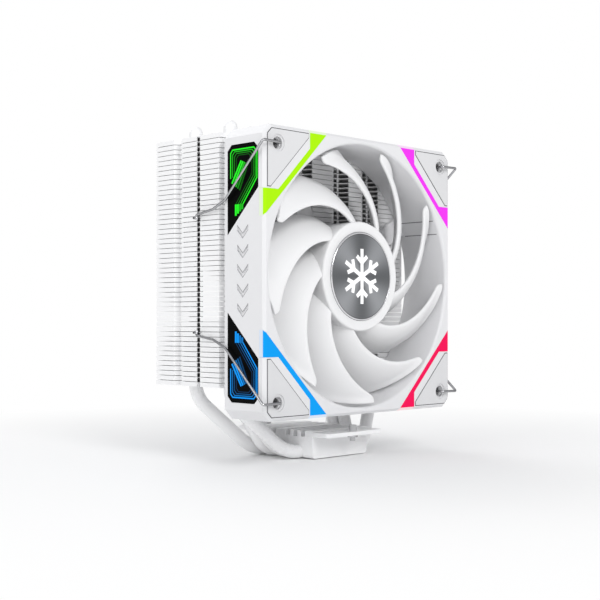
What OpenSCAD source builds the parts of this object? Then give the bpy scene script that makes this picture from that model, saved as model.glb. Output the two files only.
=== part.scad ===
// Tower cooler for a processor: a stack of thin fins on four bent heat pipes, a grooved base
// that sits on the processor, and a framed axial fan held to the fins by two spring wires.
// The origin is the centre of the base's contact face. +X is right, +Y is back, +Z is up.

/* [Fan] */
// Side of the square fan frame
fan_size = 120; // [96:1:144]
// Depth of the fan frame, front to back
fan_depth = 25; // [22:0.5:32]
// Distance between neighbouring corner holes of the fan
fan_hole_pitch = 105; // [84:0.5:126]
// Thinnest wall of the frame, beside the bore
frame_wall = 2.8; // [2.2:0.1:4]
// Outer radius of the rotor hub
hub_r = 23.9; // [20:0.1:28]
// Number of blades
blade_count = 9; // [5:1:11]
// Thickness of a blade
blade_t = 2.2; // [1.4:0.1:2.6]
// Running gap between the blade tips and the bore
tip_gap = 1.4; // [0.8:0.1:3]
// Number of rear struts that carry the motor
strut_count = 4; // [3:1:6]

/* [Fins] */
// Number of fins, the top one included
fin_count = 50; // [40:1:60]
// Distance from one fin to the next
fin_pitch = 2.14; // [1.9:0.01:2.6]
// Sheet thickness of a fin
fin_t = 0.4; // [0.3:0.05:0.6]
// Width of a fin, left to right
fin_width = 118; // [112:1:140]
// Depth of a fin, front to back
fin_depth = 45.5; // [42:0.1:56]

/* [Heat pipes] */
// Diameter of a heat pipe
pipe_d = 6; // [5:0.1:6.4]
// Distance between neighbouring pipes in the base
pipe_pitch = 7.3; // [7:0.1:8]
// Length of pipe that stands out of the top fin
pipe_tip = 7.6; // [5:0.1:10]

/* [Base] */
// Width of the base, left to right
base_w = 35; // [30:0.1:36]
// Depth of the base, front to back
base_d = 39.8; // [38.4:0.1:48]
// Height of the base's lower plate, which holds the pipes
plate_h = 7.3; // [6.9:0.1:9]
// Height of the grooved cover on the plate
cover_h = 4.7; // [4.4:0.1:6]
// Width of a groove in the base's top
groove_w = 2.5; // [1.5:0.1:3]
// Thickness of a mounting ear
ear_t = 1.7; // [1.2:0.1:1.8]
// How far an ear stands out of the base
ear_reach = 9.5; // [8:0.1:14]

/* [Wire clips] */
// Diameter of the spring wire
wire_d = 1.2; // [0.9:0.1:1.3]

/* [Hidden] */
$fn = 64;
EPS = 0.01;
// Clearance between two moulded parts that are pressed together
fit_gap = 0.1;

// ---- Places in the row frame ----
fan_axis_z = 79.5;
fan_front_y = -34.5;
fan_back_y = fan_front_y + fan_depth;
fin_gap = 0.4;                       // between the fan's back and the fins
fin_front_y = fan_back_y + fin_gap;
fin_back_y = fin_front_y + fin_depth;
fin_mid_y = (fin_front_y + fin_back_y) / 2;
fin_top_z = fan_axis_z + 59.3;
fin_bottom_z = fin_top_z - fin_count * fin_pitch;

// ---- Fan frame ----
half = fan_size / 2;
edge_bevel = 1.2;
corner_cut = 4;
bore_r = half - frame_wall;
lip_r = 1.3;
hole_r = 2.15;
pad_hole_r = 2.6;
pad_ring_r = 3.6;
light_depth = 3;
light_off = 1.4;                     // from the bore to the light strip
light_w = 2.2;
light_flare = 11;                    // how much wider the strip is at the frame's side
light_in = bore_r + light_off;
light_out = light_in + light_w;
light_far = light_in * sqrt(2) - half;
light_near = light_far + light_flare;
light_knee = light_out * sqrt(2) - light_near;
pad_band = 3.9;                      // from the light strip to the pad
pad_low = 34.9;                      // where the pad's slanting side is cut off
pad_margin = 1.9;
pad_cut = 2.2;
pad_depth = 1.4;
pad_proud = 0.25;
rear_pad_depth = 1;

// Side windows: the corner of the window nearest the axis, and the rest from the frame's edges
window_low = 16;
window_front = 3.5;
window_back = fan_depth - 3;
window_top = half - 7.2;
window_cut = 2.4;
window_pocket = 3;
window_t = 0.8;
board_t = 0.6;

// Engraved chevrons between the windows
chevron_count = 5;
chevron_pitch = 8;
chevron_w = 6.6;
chevron_rise = 3.4;
chevron_stroke = 2;
chevron_deep = 0.45;
chevron_mid = 12.8;                  // from the fan's front

// ---- Motor ----
hub_front = 2;                       // hub face behind the frame's face
hub_back = fan_depth - 4.2;
hub_wall = 1.4;
hub_face_t = 2.2;
badge_r = hub_r - 4.5;
badge_pocket = 0.5;
badge_proud = 0.3;
badge_bevel = 0.4;
emblem_t = 0.25;
cup_t = 0.8;
cup_gap = 0.1;
magnet_t = 1.5;
air_gap = 0.5;
shaft_r = 1.5;
bearing_gap = 0.03;
bearing_r = 3.4;
tube_r = 4.6;
motor_disc_t = 1.6;
motor_disc_r = hub_r + 0.6;
strut_w = 9;
strut_t = 2.6;
strut_angle = 27;
cup_r = hub_r - hub_wall - cup_gap;
magnet_r = cup_r - cup_t - 0.05;
stator_r = magnet_r - magnet_t - air_gap;
stator_poles = 4;
board_gap = 0.4;
coil_h = 6;
core_h = 5;
magnet_h = 10;
stator_mid = 11.5;                   // from the fan's front to the middle of the stator

// ---- Blades ----
tip_r = bore_r - tip_gap;
root_r = hub_r - 0.8;
lead_front = 3.6;                    // depth of the leading edge at the hub
lead_front_tip = 1.2;                // and at the tip
trail_back = 16;
lead_angle = -17.5;                  // leading edge at the hub, in degrees
lead_sweep = 1.9;                    // degrees of sweep for each millimetre of radius
tip_angle = 37.6;                    // the sweep ends here, which cuts the tip's front corner
tip_soft = 1;                        // how softly it ends, in degrees
blade_wrap = 33;                     // degrees from leading to trailing edge at the hub
blade_wrap_tip = 31.3;               // and at the tip
trail_share = 0.6;                   // of the corner's cut, at the trailing edge
blade_camber = 1.6;                  // power of the curve that takes the blade back, at the hub
blade_camber_tip = 1.38;             // and at the tip
blade_rings = 11;
ring_crowd = 1.35;                   // above 1, the rings crowd towards the tip
blade_steps = 8;

// ---- Fins ----
fin_half = fin_width / 2;
tab_gap = 0.24;
notch_deep = 3.5;
notch_slope = 1.5;
// Front and back notches, as [inner edge, outer edge], measured from the middle
notches = [[7, 17], [26.5, 37.5]];
back_notches = [[10, 36]];
front_corner_in = 4;
front_corner_back = 3.2;
slot_front = fin_front_y + 15.9;
slot_w = 1.4;
slot_deep = 2.6;
bay_front = fin_front_y + 27.8;
bay_back = fin_front_y + 33.1;
bay_deep = 2.5;
bay_slope = 1.4;
rib_w = 1;                           // narrow tabs that stand in a notch
collar_t = 0.5;
collar_h = 1.2;

// ---- Heat pipes ----
pipe_r = pipe_d / 2;
pipe_gap = 0.1;
pipe_flat = 0.3;                     // machined off the pipe where it touches the processor
pipe_z = pipe_r - pipe_flat;
tip_z = fin_top_z + pipe_tip;
outer_x = 45.6;
inner_x = 30;
outer_dy = 11.6;
front_inner_dy = 6.2;
rear_inner_dy = 4.2;
outer_bend_r = 14;
inner_bend_r = 8;
rear_inner_bend_r = 7.4;
joint_step = 0.02;                   // bends are this much fatter than the straight runs
joint_lap = 0.05;
// [place in the base in pitches, stem x, stem y, lower corner x, upper corner z, bend radius]
PIPES = [
    [-1.5, outer_x, fin_mid_y - outer_dy, 25, 25, outer_bend_r],
    [-0.5, inner_x, fin_mid_y - front_inner_dy, 23.5, 20.5, inner_bend_r],
    [0.5, inner_x, fin_mid_y + rear_inner_dy, 23.5, 26.5, rear_inner_bend_r],
    [1.5, outer_x, fin_mid_y + outer_dy, 25, 26, outer_bend_r]
];

// ---- Base ----
base_round = 1.6;
base_h = plate_h + cover_h;
groove_d = 2.6;
groove_rib = 2.15;
middle_rib = 6.6;
groove_side = 3;                     // grooves on each side of the middle rib
cover_seam = 0.02;                   // solder between the plate and the cover
ear_z = base_h - 0.6 - ear_t;
ear_tongue = 4;
ear_gap = 0.04;
ear_corner = 1.2;
screw_y = base_d / 2 + ear_reach - 2;
screw_r = 1.2;
screw_head_r = 1.75;
screw_head_h = 2.8;
screw_tail = 2.4;                    // what stands out below the ear
screw_gap = 0.15;
screw_groove = 0.35;
hex_r = 0.95;
hex_deep = 1.4;
ring_r = 2.3;
ring_t = 0.6;
ring_drop = 0.1;

// ---- Wire clips ----
wire_r = wire_d / 2;
hook_front = 2;                      // the wire's front run before the frame's face
hook_in = 6;
leg_z = 24;
clip_bend_r = 0.9;

// ---- Helpers ----

// Puts a shape drawn as seen from the front (x right, y up, z towards the viewer) on the fan
module on_fan() {
    translate([0, fan_front_y, fan_axis_z]) rotate([90, 0, 0]) children();
}

// A cylinder between two points
module rod(a, b, r) {
    d = b - a;
    len = norm(d);
    translate(a) rotate([0, acos(d.z / len), atan2(d.y, d.x)]) cylinder(r = r, h = len);
}

// A wire through the points, with balls at its bends
function unit(v) = v / norm(v);
// How far a bend reaches along each of the two straight runs it joins
function bend_cut(a, p, b, bend_r) = bend_r * tan(acos(unit(p - a) * unit(b - p)) / 2);

// Part of a ring that joins two straight tubes meeting at p, coming from a and leaving for b
module elbow(a, p, b, bend_r, r) {
    d1 = unit(p - a);
    turn = acos(d1 * unit(b - p));
    axis = unit(cross(d1, b - p));
    side = cross(axis, d1);
    centre = p - d1 * bend_r * tan(turn / 2) + side * bend_r;
    multmatrix([
        [-side.x, d1.x, axis.x, centre.x],
        [-side.y, d1.y, axis.y, centre.y],
        [-side.z, d1.z, axis.z, centre.z],
        [0, 0, 0, 1]
    ])
        rotate_extrude(angle = turn) translate([bend_r, 0]) circle(r = r, $fn = 32);
}

// A round bar through the points, with a bend of the given radius at each inner point
module bent_bar(points, r, bend_r) {
    last = len(points) - 1;
    for (i = [0 : last - 1]) {
        d = unit(points[i + 1] - points[i]);
        from = i == 0 ? 0
            : bend_cut(points[i - 1], points[i], points[i + 1], bend_r) - joint_lap;
        to = i == last - 1 ? 0
            : bend_cut(points[i], points[i + 1], points[i + 2], bend_r) - joint_lap;
        rod(points[i] + d * from, points[i + 1] - d * to, r);
    }
    for (i = [1 : last - 1])
        elbow(points[i - 1], points[i], points[i + 1], bend_r, r + joint_step);
}

// An outline of the right half, closed by its mirror image
function both_sides(half_outline) = concat(
    half_outline,
    [for (i = [len(half_outline) - 1 : -1 : 0]) [-half_outline[i].x, half_outline[i].y]]
);

// ---- Fan frame ----

module cut_square(s, cut) {
    polygon([
        [-s, -s + cut], [-s + cut, -s], [s - cut, -s], [s, -s + cut],
        [s, s - cut], [s - cut, s], [-s + cut, s], [-s, s - cut]
    ]);
}

// The frame's outer block, with its front and back edges cut at 45 degrees
module frame_blank() {
    size = edge_bevel * sqrt(2);
    difference() {
        translate([0, 0, -fan_depth]) linear_extrude(fan_depth) cut_square(half, corner_cut);
        for (a = [0 : 45 : 315], z = [0, -fan_depth]) rotate([0, 0, a])
            translate([a % 90 == 0 ? half : half * sqrt(2) - corner_cut / sqrt(2), 0, z])
                rotate([0, 45, 0]) cube([size, 3 * half, size], center = true);
    }
}

// Flow opening with a rounded front lip
module bore_cut() {
    translate([0, 0, -fan_depth - 1]) cylinder(r = bore_r, h = fan_depth + 2, $fn = 128);
    difference() {
        translate([0, 0, -lip_r]) cylinder(r = bore_r + lip_r, h = lip_r + 1, $fn = 128);
        rotate_extrude($fn = 128) translate([bore_r + lip_r, -lip_r]) circle(r = lip_r, $fn = 48);
    }
}

// The light strip's outline in the corner where x and y are positive; grow widens its socket
module light_outline(grow = 0) {
    g = grow;
    out = half + 1;
    polygon([
        [light_near + g, out], [light_near + g, light_knee + g * 0.414],
        [light_knee + g * 0.414, light_near + g], [out, light_near + g],
        [out, light_in * sqrt(2) - out - g], [light_in * sqrt(2) - out - g, out]
    ]);
}

module pad_outline(grow = 0) {
    side = half - pad_margin + grow;
    slant = (light_out + pad_band - grow) * sqrt(2);
    low = pad_low - grow;
    polygon([
        [low, side], [side - pad_cut, side], [side, side - pad_cut], [side, low],
        [slant - low, low], [low, slant - low]
    ]);
}

module at_corners() {
    for (a = [0 : 90 : 270]) rotate([0, 0, a]) children();
}

// Outline of a side window, drawn with x back from the fan's front and y up
module window_outline(grow = 0) {
    g = grow;
    low = window_low - g * 1.414;
    polygon([
        [window_back + g, low], [window_back + g, window_top - window_cut],
        [window_back - window_cut, window_top + g], [window_front + window_cut, window_top + g],
        [window_front - g, window_top - window_cut],
        [window_front - g, low + window_back - window_front + 2 * g]
    ]);
}

// Window-shaped plates on both sides of the frame; start is how deep under the side they begin
module window_solids(up, start, deep, grow) {
    for (side = [-1, 1])
        mirror([side < 0 ? 1 : 0, 0, 0]) mirror([0, up > 0 ? 0 : 1, 0])
            translate([half - start - deep, 0, 0]) rotate([0, 90, 0])
                linear_extrude(deep) window_outline(grow);
}

module chevrons() {
    for (side = [-1, 1]) mirror([side < 0 ? 1 : 0, 0, 0])
        for (i = [0 : chevron_count - 1])
            translate([half - chevron_deep, (i - (chevron_count - 1) / 2) * chevron_pitch, 0])
                rotate([0, 90, 0]) linear_extrude(chevron_deep + 1)
                    polygon([
                        [chevron_mid - chevron_w / 2, chevron_rise / 2],
                        [chevron_mid, -chevron_rise / 2],
                        [chevron_mid + chevron_w / 2, chevron_rise / 2],
                        [chevron_mid + chevron_w / 2, chevron_rise / 2 + chevron_stroke],
                        [chevron_mid, -chevron_rise / 2 + chevron_stroke],
                        [chevron_mid - chevron_w / 2, chevron_rise / 2 + chevron_stroke]
                    ]);
}

module struts() {
    reach = bore_r + 1;
    intersection() {
        for (i = [0 : strut_count - 1])
            rotate([0, 0, strut_angle + i * 360 / strut_count])
                translate([motor_disc_r - 2, -strut_w / 2, -fan_depth])
                    cube([reach - motor_disc_r + 2, strut_w, strut_t]);
        translate([0, 0, -fan_depth]) cylinder(r = reach, h = strut_t, $fn = 128);
    }
}

module fan_frame() {
    color("whitesmoke") on_fan() {
        difference() {
            union() {
                difference() {
                    frame_blank();
                    bore_cut();
                }
                struts();
                translate([0, 0, -fan_depth]) cylinder(r = motor_disc_r, h = motor_disc_t);
                translate([0, 0, -fan_depth]) cylinder(r = tube_r, h = fan_depth - stator_mid + core_h / 2);
            }
            at_corners() {
                translate([0, 0, -light_depth]) linear_extrude(light_depth + 1)
                    light_outline(fit_gap);
                translate([0, 0, -pad_depth]) linear_extrude(pad_depth + 1)
                    pad_outline(fit_gap);
                translate([0, 0, -fan_depth - 1]) linear_extrude(rear_pad_depth + 1)
                    pad_outline(fit_gap);
                translate([fan_hole_pitch / 2, fan_hole_pitch / 2, -fan_depth - 1])
                    cylinder(r = hole_r, h = fan_depth + 2);
            }
            for (up = [-1, 1]) window_solids(up, -1, window_pocket + 1, fit_gap);
            chevrons();
            translate([0, 0, -fan_depth + motor_disc_t]) cylinder(r = bearing_r + fit_gap / 2, h = fan_depth);
        }
    }
}

module corner_light(angle, tint) {
    color(tint) on_fan() rotate([0, 0, angle]) intersection() {
        translate([0, 0, -light_depth + fit_gap]) linear_extrude(light_depth) light_outline();
        frame_blank();
    }
}

module front_corner_pads() {
    color("gainsboro") on_fan() at_corners() difference() {
        translate([0, 0, -pad_depth + fit_gap]) linear_extrude(pad_depth + pad_proud - fit_gap)
            pad_outline();
        translate([fan_hole_pitch / 2, fan_hole_pitch / 2, -pad_depth - 1]) {
            cylinder(r = pad_hole_r, h = pad_depth + 3);
            translate([0, 0, pad_depth + 1 + pad_proud - 0.4]) cylinder(r = pad_ring_r, h = 1);
        }
    }
}

module rear_corner_pads() {
    color("gainsboro") on_fan() at_corners() difference() {
        translate([0, 0, -fan_depth]) linear_extrude(rear_pad_depth - fit_gap) pad_outline();
        translate([fan_hole_pitch / 2, fan_hole_pitch / 2, -fan_depth - 1])
            cylinder(r = pad_hole_r, h = pad_depth + 3);
    }
}

// ---- Rotor ----

// Value at radius r of a size that is given at the hub and at the tip
function span(r, at_hub, at_tip) = at_hub + (at_tip - at_hub) * (r - hub_r) / (tip_r - hub_r);
function swept_at(r) = lead_angle + lead_sweep * (r - hub_r);
function lead_at(r) = tip_angle - tip_soft * ln(1 + exp((tip_angle - swept_at(r)) / tip_soft));
function wrap_at(r) =
    span(r, blade_wrap, blade_wrap_tip) - trail_share * (swept_at(r) - lead_at(r));
// Middle of one blade section, unrolled at radius r: [arc length, depth]
function blade_chord(r, s) =
    let (front = span(r, lead_front, lead_front_tip), power = span(r, blade_camber, blade_camber_tip))
        [
            r * (lead_at(r) - wrap_at(r) * s) * PI / 180,
            -front - (trail_back - front) * pow(s, power)
        ];
function blade_normal(r, s) =
    let (front = span(r, lead_front, lead_front_tip), power = span(r, blade_camber, blade_camber_tip))
        unit([
            (trail_back - front) * power * pow(max(s, 0.001), power - 1),
            -r * wrap_at(r) * PI / 180
        ]);
function blade_thick(s) = blade_t / 2 * sqrt(max(0, 1 - pow(2 * s - 1, 4)));
function blade_point(r, s, side) =
    let (p = blade_chord(r, s) + side * blade_thick(s) * blade_normal(r, s))
        [r * cos(p.x / r * 180 / PI), r * sin(p.x / r * 180 / PI), p.y];
function blade_ring(r) = concat(
    [for (i = [0 : blade_steps]) blade_point(r, i / blade_steps, 1)],
    [for (i = [blade_steps - 1 : -1 : 1]) blade_point(r, i / blade_steps, -1)]
);

module blade() {
    n = 2 * blade_steps;
    rings = [for (j = [0 : blade_rings])
        blade_ring(tip_r - (tip_r - root_r) * pow(1 - j / blade_rings, ring_crowd))];
    points = [for (ring = rings) each ring];
    last = blade_rings * n;
    faces = concat(
        [for (j = [0 : blade_rings - 1], i = [0 : n - 1])
            [j * n + i, j * n + (i + 1) % n, (j + 1) * n + (i + 1) % n]],
        [for (j = [0 : blade_rings - 1], i = [0 : n - 1])
            [j * n + i, (j + 1) * n + (i + 1) % n, (j + 1) * n + i]],
        [for (i = [1 : n - 2]) [0, i + 1, i]],
        [for (i = [1 : n - 2]) [last, last + i, last + i + 1]]
    );
    polyhedron(points, faces, convexity = 6);
}

module impeller() {
    color("white") on_fan() {
        difference() {
            union() {
                translate([0, 0, -hub_back]) cylinder(r = hub_r, h = hub_back - hub_front);
                for (i = [0 : blade_count - 1]) rotate([0, 0, i * 360 / blade_count]) blade();
            }
            translate([0, 0, -hub_back - 1])
                cylinder(r = hub_r - hub_wall, h = hub_back - hub_front - hub_face_t + 1);
            translate([0, 0, -hub_front - badge_pocket])
                cylinder(r = badge_r + fit_gap, h = badge_pocket + 1);
            translate([0, 0, -hub_back]) cylinder(r = shaft_r + bearing_gap, h = hub_back);
        }
    }
}

module hub_badge() {
    h = badge_pocket + badge_proud - badge_bevel;
    color("silver") on_fan() translate([0, 0, -hub_front - badge_pocket]) {
        cylinder(r = badge_r, h = h);
        translate([0, 0, h]) cylinder(r1 = badge_r, r2 = badge_r - badge_bevel, h = badge_bevel);
    }
}

// A plain snow crystal: six arms, each with one pair of side twigs
module badge_emblem() {
    arm = badge_r * 0.62;
    arm_w = 1.7;
    twig = badge_r * 0.22;
    color("white") on_fan() translate([0, 0, -hub_front + badge_proud]) linear_extrude(emblem_t)
        for (a = [0 : 60 : 300]) rotate([0, 0, a + 30]) {
            translate([0, -arm_w / 2]) square([arm, arm_w]);
            for (side = [-1, 1]) translate([arm * 0.5, 0]) rotate([0, 0, side * 50])
                translate([0, -arm_w / 2]) square([twig, arm_w]);
        }
}

module rotor_cup() {
    face_z = -hub_front - hub_face_t - fit_gap;
    depth = hub_back - hub_front - hub_face_t - 2 * fit_gap;
    color("darkgray") on_fan() difference() {
        translate([0, 0, face_z - depth]) cylinder(r = cup_r, h = depth);
        translate([0, 0, face_z - depth - 1]) cylinder(r = cup_r - cup_t, h = depth - cup_t + 1);
        translate([0, 0, face_z - depth]) cylinder(r = shaft_r + 3, h = depth + 1);
    }
}

module magnet_ring() {
    color("dimgray") on_fan() translate([0, 0, -stator_mid - magnet_h / 2]) difference() {
        cylinder(r = magnet_r, h = magnet_h);
        translate([0, 0, -1]) cylinder(r = magnet_r - magnet_t, h = magnet_h + 2);
    }
}

shaft_end = fan_depth - motor_disc_t - 0.8;
clip_z = fan_depth - motor_disc_t - 2.4;

module rotor_shaft() {
    color("silver") on_fan() difference() {
        translate([0, 0, -shaft_end])
            cylinder(r = shaft_r, h = shaft_end - hub_front - badge_pocket - fit_gap);
        translate([0, 0, -clip_z - 0.6]) difference() {
            cylinder(r = shaft_r + 1, h = 0.6);
            cylinder(r = shaft_r - 0.4, h = 0.6);
        }
    }
}

module shaft_clip() {
    color("white") on_fan() translate([0, 0, -clip_z - 0.5]) difference() {
        cylinder(r = shaft_r + 0.8, h = 0.4);
        translate([0, 0, -1]) cylinder(r = shaft_r - 0.35, h = 3);
    }
}

// ---- Motor ----

module bearing_sleeve() {
    low = fan_depth - motor_disc_t - 3;
    high = stator_mid - core_h / 2 - 1;
    color("goldenrod") on_fan() translate([0, 0, -low]) difference() {
        cylinder(r = bearing_r, h = low - high);
        translate([0, 0, -1]) cylinder(r = shaft_r + bearing_gap, h = low - high + 2);
    }
}

module stator_core() {
    color("gray") on_fan() translate([0, 0, -stator_mid - core_h / 2]) difference() {
        union() {
            cylinder(r = tube_r + 2.6, h = core_h);
            for (i = [0 : stator_poles - 1]) rotate([0, 0, i * 360 / stator_poles])
                translate([0, -1.8, 0]) cube([stator_r - 1, 3.6, core_h]);
            intersection() {
                difference() {
                    cylinder(r = stator_r, h = core_h);
                    translate([0, 0, -1]) cylinder(r = stator_r - 1.6, h = core_h + 2);
                }
                for (i = [0 : stator_poles / 2 - 1]) rotate([0, 0, i * 360 / stator_poles])
                    translate([-stator_r, -stator_r * 0.62, -1])
                        cube([2 * stator_r, 2 * stator_r * 0.62, core_h + 2]);
            }
        }
        translate([0, 0, -1]) cylinder(r = tube_r + fit_gap, h = core_h + 2);
    }
}

module stator_coils() {
    inner = tube_r + 3;
    outer = stator_r - 2.4;
    color("peru") on_fan() for (i = [0 : stator_poles - 1]) rotate([0, 0, i * 360 / stator_poles])
        translate([0, 0, -stator_mid]) difference() {
            translate([inner, -3.6, -coil_h / 2 - 0.6]) cube([outer - inner, 7.2, coil_h + 1.2]);
            translate([inner - 1, -1.8 - fit_gap, -core_h / 2 - fit_gap])
                cube([outer - inner + 2, 3.6 + 2 * fit_gap, core_h + 2 * fit_gap]);
        }
}

module motor_board() {
    color("darkgreen") on_fan() translate([0, 0, -fan_depth + motor_disc_t + board_gap])
        difference() {
            cylinder(r = stator_r - 1, h = 1);
            translate([0, 0, -1]) cylinder(r = tube_r + fit_gap, h = 3);
        }
}

// ---- Fins ----

function notch_edge(list, y, dir) = [for (n = list) each [
    [n[0], y], [n[0] + notch_slope, y + dir * notch_deep],
    [n[1] - notch_slope, y + dir * notch_deep], [n[1], y]
]];
function flip(list) = [for (i = [len(list) - 1 : -1 : 0]) list[i]];

fin_half_outline = concat(
    [[0, fin_front_y]],
    notch_edge(notches, fin_front_y, 1),
    [
        [fin_half - front_corner_in, fin_front_y],
        [fin_half - front_corner_in + 1.5, fin_front_y + front_corner_back - 0.4],
        [fin_half, fin_front_y + front_corner_back],
        [fin_half, slot_front], [fin_half - slot_deep, slot_front],
        [fin_half - slot_deep, slot_front + slot_w], [fin_half, slot_front + slot_w],
        [fin_half, bay_front], [fin_half - bay_deep, bay_front + bay_slope],
        [fin_half - bay_deep, bay_back - bay_slope], [fin_half, bay_back],
        [fin_half, fin_back_y]
    ],
    flip(notch_edge(back_notches, fin_back_y, -1)),
    [[0, fin_back_y]]
);

// What is pressed out below the sheet: it leaves tabs along the edges, and runs past the edge
// wherever the fin has no tab
function ribbed_pocket(y, dir) = [for (n = notches)
    let (floor_y = y + dir * (notch_deep + fin_t), out = y - dir * 2,
         a = n[0] + (n[1] - n[0]) / 3, b = n[1] - (n[1] - n[0]) / 3) each [
        [n[0] - fin_t, y + dir * fin_t], [n[0] - fin_t, out],
        [a - rib_w / 2, out], [a - rib_w / 2, floor_y], [a + rib_w / 2, floor_y], [a + rib_w / 2, out],
        [b - rib_w / 2, out], [b - rib_w / 2, floor_y], [b + rib_w / 2, floor_y], [b + rib_w / 2, out],
        [n[1] + fin_t, out], [n[1] + fin_t, y + dir * fin_t]
    ]];

function open_pocket(y, dir) = [for (n = back_notches) let (out = y - dir * 2) each [
    [n[0] - fin_t, y + dir * fin_t], [n[0] - fin_t, out], [n[1] + fin_t, out],
    [n[1] + fin_t, y + dir * fin_t]
]];

fin_half_pocket = concat(
    [[0, fin_front_y + fin_t]],
    ribbed_pocket(fin_front_y, 1),
    [
        [fin_half - front_corner_in - 0.2, fin_front_y + fin_t],
        [fin_half - front_corner_in + 1.2, fin_front_y + front_corner_back],
        [fin_half - fin_t, fin_front_y + front_corner_back + fin_t],
        [fin_half - fin_t, slot_front - fin_t], [fin_half + 2, slot_front - fin_t],
        [fin_half + 2, slot_front + slot_w + fin_t],
        [fin_half - fin_t, slot_front + slot_w + fin_t],
        [fin_half - fin_t, bay_front - 0.2],
        [fin_half - bay_deep - fin_t, bay_front + bay_slope - 0.2],
        [fin_half - bay_deep - fin_t, bay_back - bay_slope + 0.2],
        [fin_half - fin_t, bay_back + 0.2],
        [fin_half - fin_t, fin_back_y - fin_t]
    ],
    flip(open_pocket(fin_back_y, -1)),
    [[0, fin_back_y - fin_t]]
);

module pipe_holes(r, low, high) {
    for (p = PIPES, side = [-1, 1])
        translate([side * p[1], p[2], low]) cylinder(r = r, h = high - low, $fn = 48);
}

// One fin whose sheet's upper face is at z = top
module fin(top) {
    tab = fin_pitch - tab_gap;
    difference() {
        translate([0, 0, top - tab]) linear_extrude(tab) polygon(both_sides(fin_half_outline));
        translate([0, 0, top - tab - 1]) linear_extrude(tab + 1 - fin_t)
            polygon(both_sides(fin_half_pocket));
        pipe_holes(pipe_r + pipe_gap, top - tab - 1, top + 1);
    }
}

module fin_stack() {
    color("white") for (i = [1 : fin_count - 1]) fin(fin_top_z - i * fin_pitch);
}

// The top fin, with a drawn collar round each pipe
module top_fin() {
    color("white") {
        difference() {
            union() {
                fin(fin_top_z);
                pipe_holes(pipe_r + pipe_gap + collar_t, fin_top_z - fin_t / 2, fin_top_z + collar_h);
            }
            pipe_holes(pipe_r + pipe_gap, fin_top_z - 1, fin_top_z + collar_h + 1);
        }
    }
}

// ---- Heat pipes ----

// One pipe: a straight run in the base, and on each side a slanting run up to a stem in the fins
module heat_pipe(p) {
    y = p[0] * pipe_pitch;
    low = tip_z - pipe_r;
    color("ghostwhite") difference() {
        union() {
            bent_bar([
                [-p[1], p[2], low], [-p[1], p[2], p[4]], [-p[3], y, pipe_z],
                [p[3], y, pipe_z], [p[1], p[2], p[4]], [p[1], p[2], low]
            ], pipe_r, p[5]);
            for (side = [-1, 1]) translate([side * p[1], p[2], low - joint_lap])
                sphere(r = pipe_r + joint_step);
        }
        translate([-base_w, y - pipe_d, -pipe_d]) cube([2 * base_w, 2 * pipe_d, pipe_d]);
    }
}

// ---- Base ----

// Front view of the base's plate: square on top, rounded below
module plate_outline() {
    w = base_w / 2;
    difference() {
        translate([-w, 0]) square([base_w, plate_h - cover_seam]);
        for (side = [-1, 1]) translate([side * (w - base_round), base_round]) difference() {
            translate([side > 0 ? 0 : -base_round - 1, -base_round - 1]) square(base_round + 1);
            circle(r = base_round);
        }
    }
}

module base_plate() {
    color("whitesmoke") difference() {
        translate([0, base_d / 2, 0]) rotate([90, 0, 0]) linear_extrude(base_d) plate_outline();
        for (i = [-1.5 : 1 : 1.5]) translate([-base_w, i * pipe_pitch, pipe_z]) rotate([0, 90, 0])
            cylinder(r = pipe_r + pipe_gap / 2, h = 2 * base_w);
    }
}

module base_cover() {
    color("whitesmoke") difference() {
        translate([-base_w / 2, -base_d / 2, plate_h]) cube([base_w, base_d, cover_h]);
        for (i = [0 : groove_side - 1], side = [-1, 1])
            translate([-base_w, side * (middle_rib / 2 + groove_w / 2 + i * (groove_w + groove_rib))
                       - groove_w / 2, base_h - groove_d])
                cube([2 * base_w, groove_w, groove_d + 1]);
        for (side = [-1, 1])
            translate([-base_w, side * (base_d / 2 - ear_tongue / 2) - ear_tongue / 2, ear_z - ear_gap])
                cube([2 * base_w, ear_tongue, ear_t + 2 * ear_gap]);
    }
}

// A flat plate whose tongue sits in the cover's slot; the rest stands out in front of the base
module mounting_ear() {
    w = base_w / 2;
    out = -base_d / 2 - ear_reach;
    difference() {
        translate([0, 0, ear_z]) linear_extrude(ear_t) polygon([
            [-w, out + ear_corner], [-w + ear_corner, out], [w - ear_corner, out],
            [w, out + ear_corner], [w, -base_d / 2 + ear_tongue - ear_gap],
            [-w, -base_d / 2 + ear_tongue - ear_gap]
        ]);
        translate([0, -screw_y, ear_z - 1]) cylinder(r = screw_r + screw_gap, h = ear_t + 2);
    }
}

module mounting_ear_front() {
    color("whitesmoke") mounting_ear();
}

module mounting_ear_rear() {
    color("whitesmoke") rotate([0, 0, 180]) mounting_ear();
}

// A screw held in the ear by a ring below it, with a hexagon socket
module mounting_screw() {
    head_z = ear_z + ear_t + ear_gap;
    color("dimgray") translate([0, -screw_y, 0]) difference() {
        union() {
            translate([0, 0, head_z]) cylinder(r = screw_head_r, h = screw_head_h);
            translate([0, 0, ear_z - screw_tail]) cylinder(r = screw_r, h = head_z - ear_z + screw_tail);
        }
        translate([0, 0, head_z + screw_head_h - hex_deep])
            cylinder(r = hex_r, h = hex_deep + 1, $fn = 6);
        translate([0, 0, ear_z - ring_drop - ring_t - ear_gap]) difference() {
            cylinder(r = screw_r + 1, h = ring_t + 2 * ear_gap);
            cylinder(r = screw_r - screw_groove, h = ring_t + 2 * ear_gap);
        }
    }
}

module screw_ring() {
    color("dimgray") translate([0, -screw_y, ear_z - ring_drop - ring_t]) difference() {
        cylinder(r = ring_r, h = ring_t);
        translate([0, 0, -1]) cylinder(r = screw_r - screw_groove + ear_gap, h = ring_t + 2);
    }
}

// ---- Wire clips ----

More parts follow.
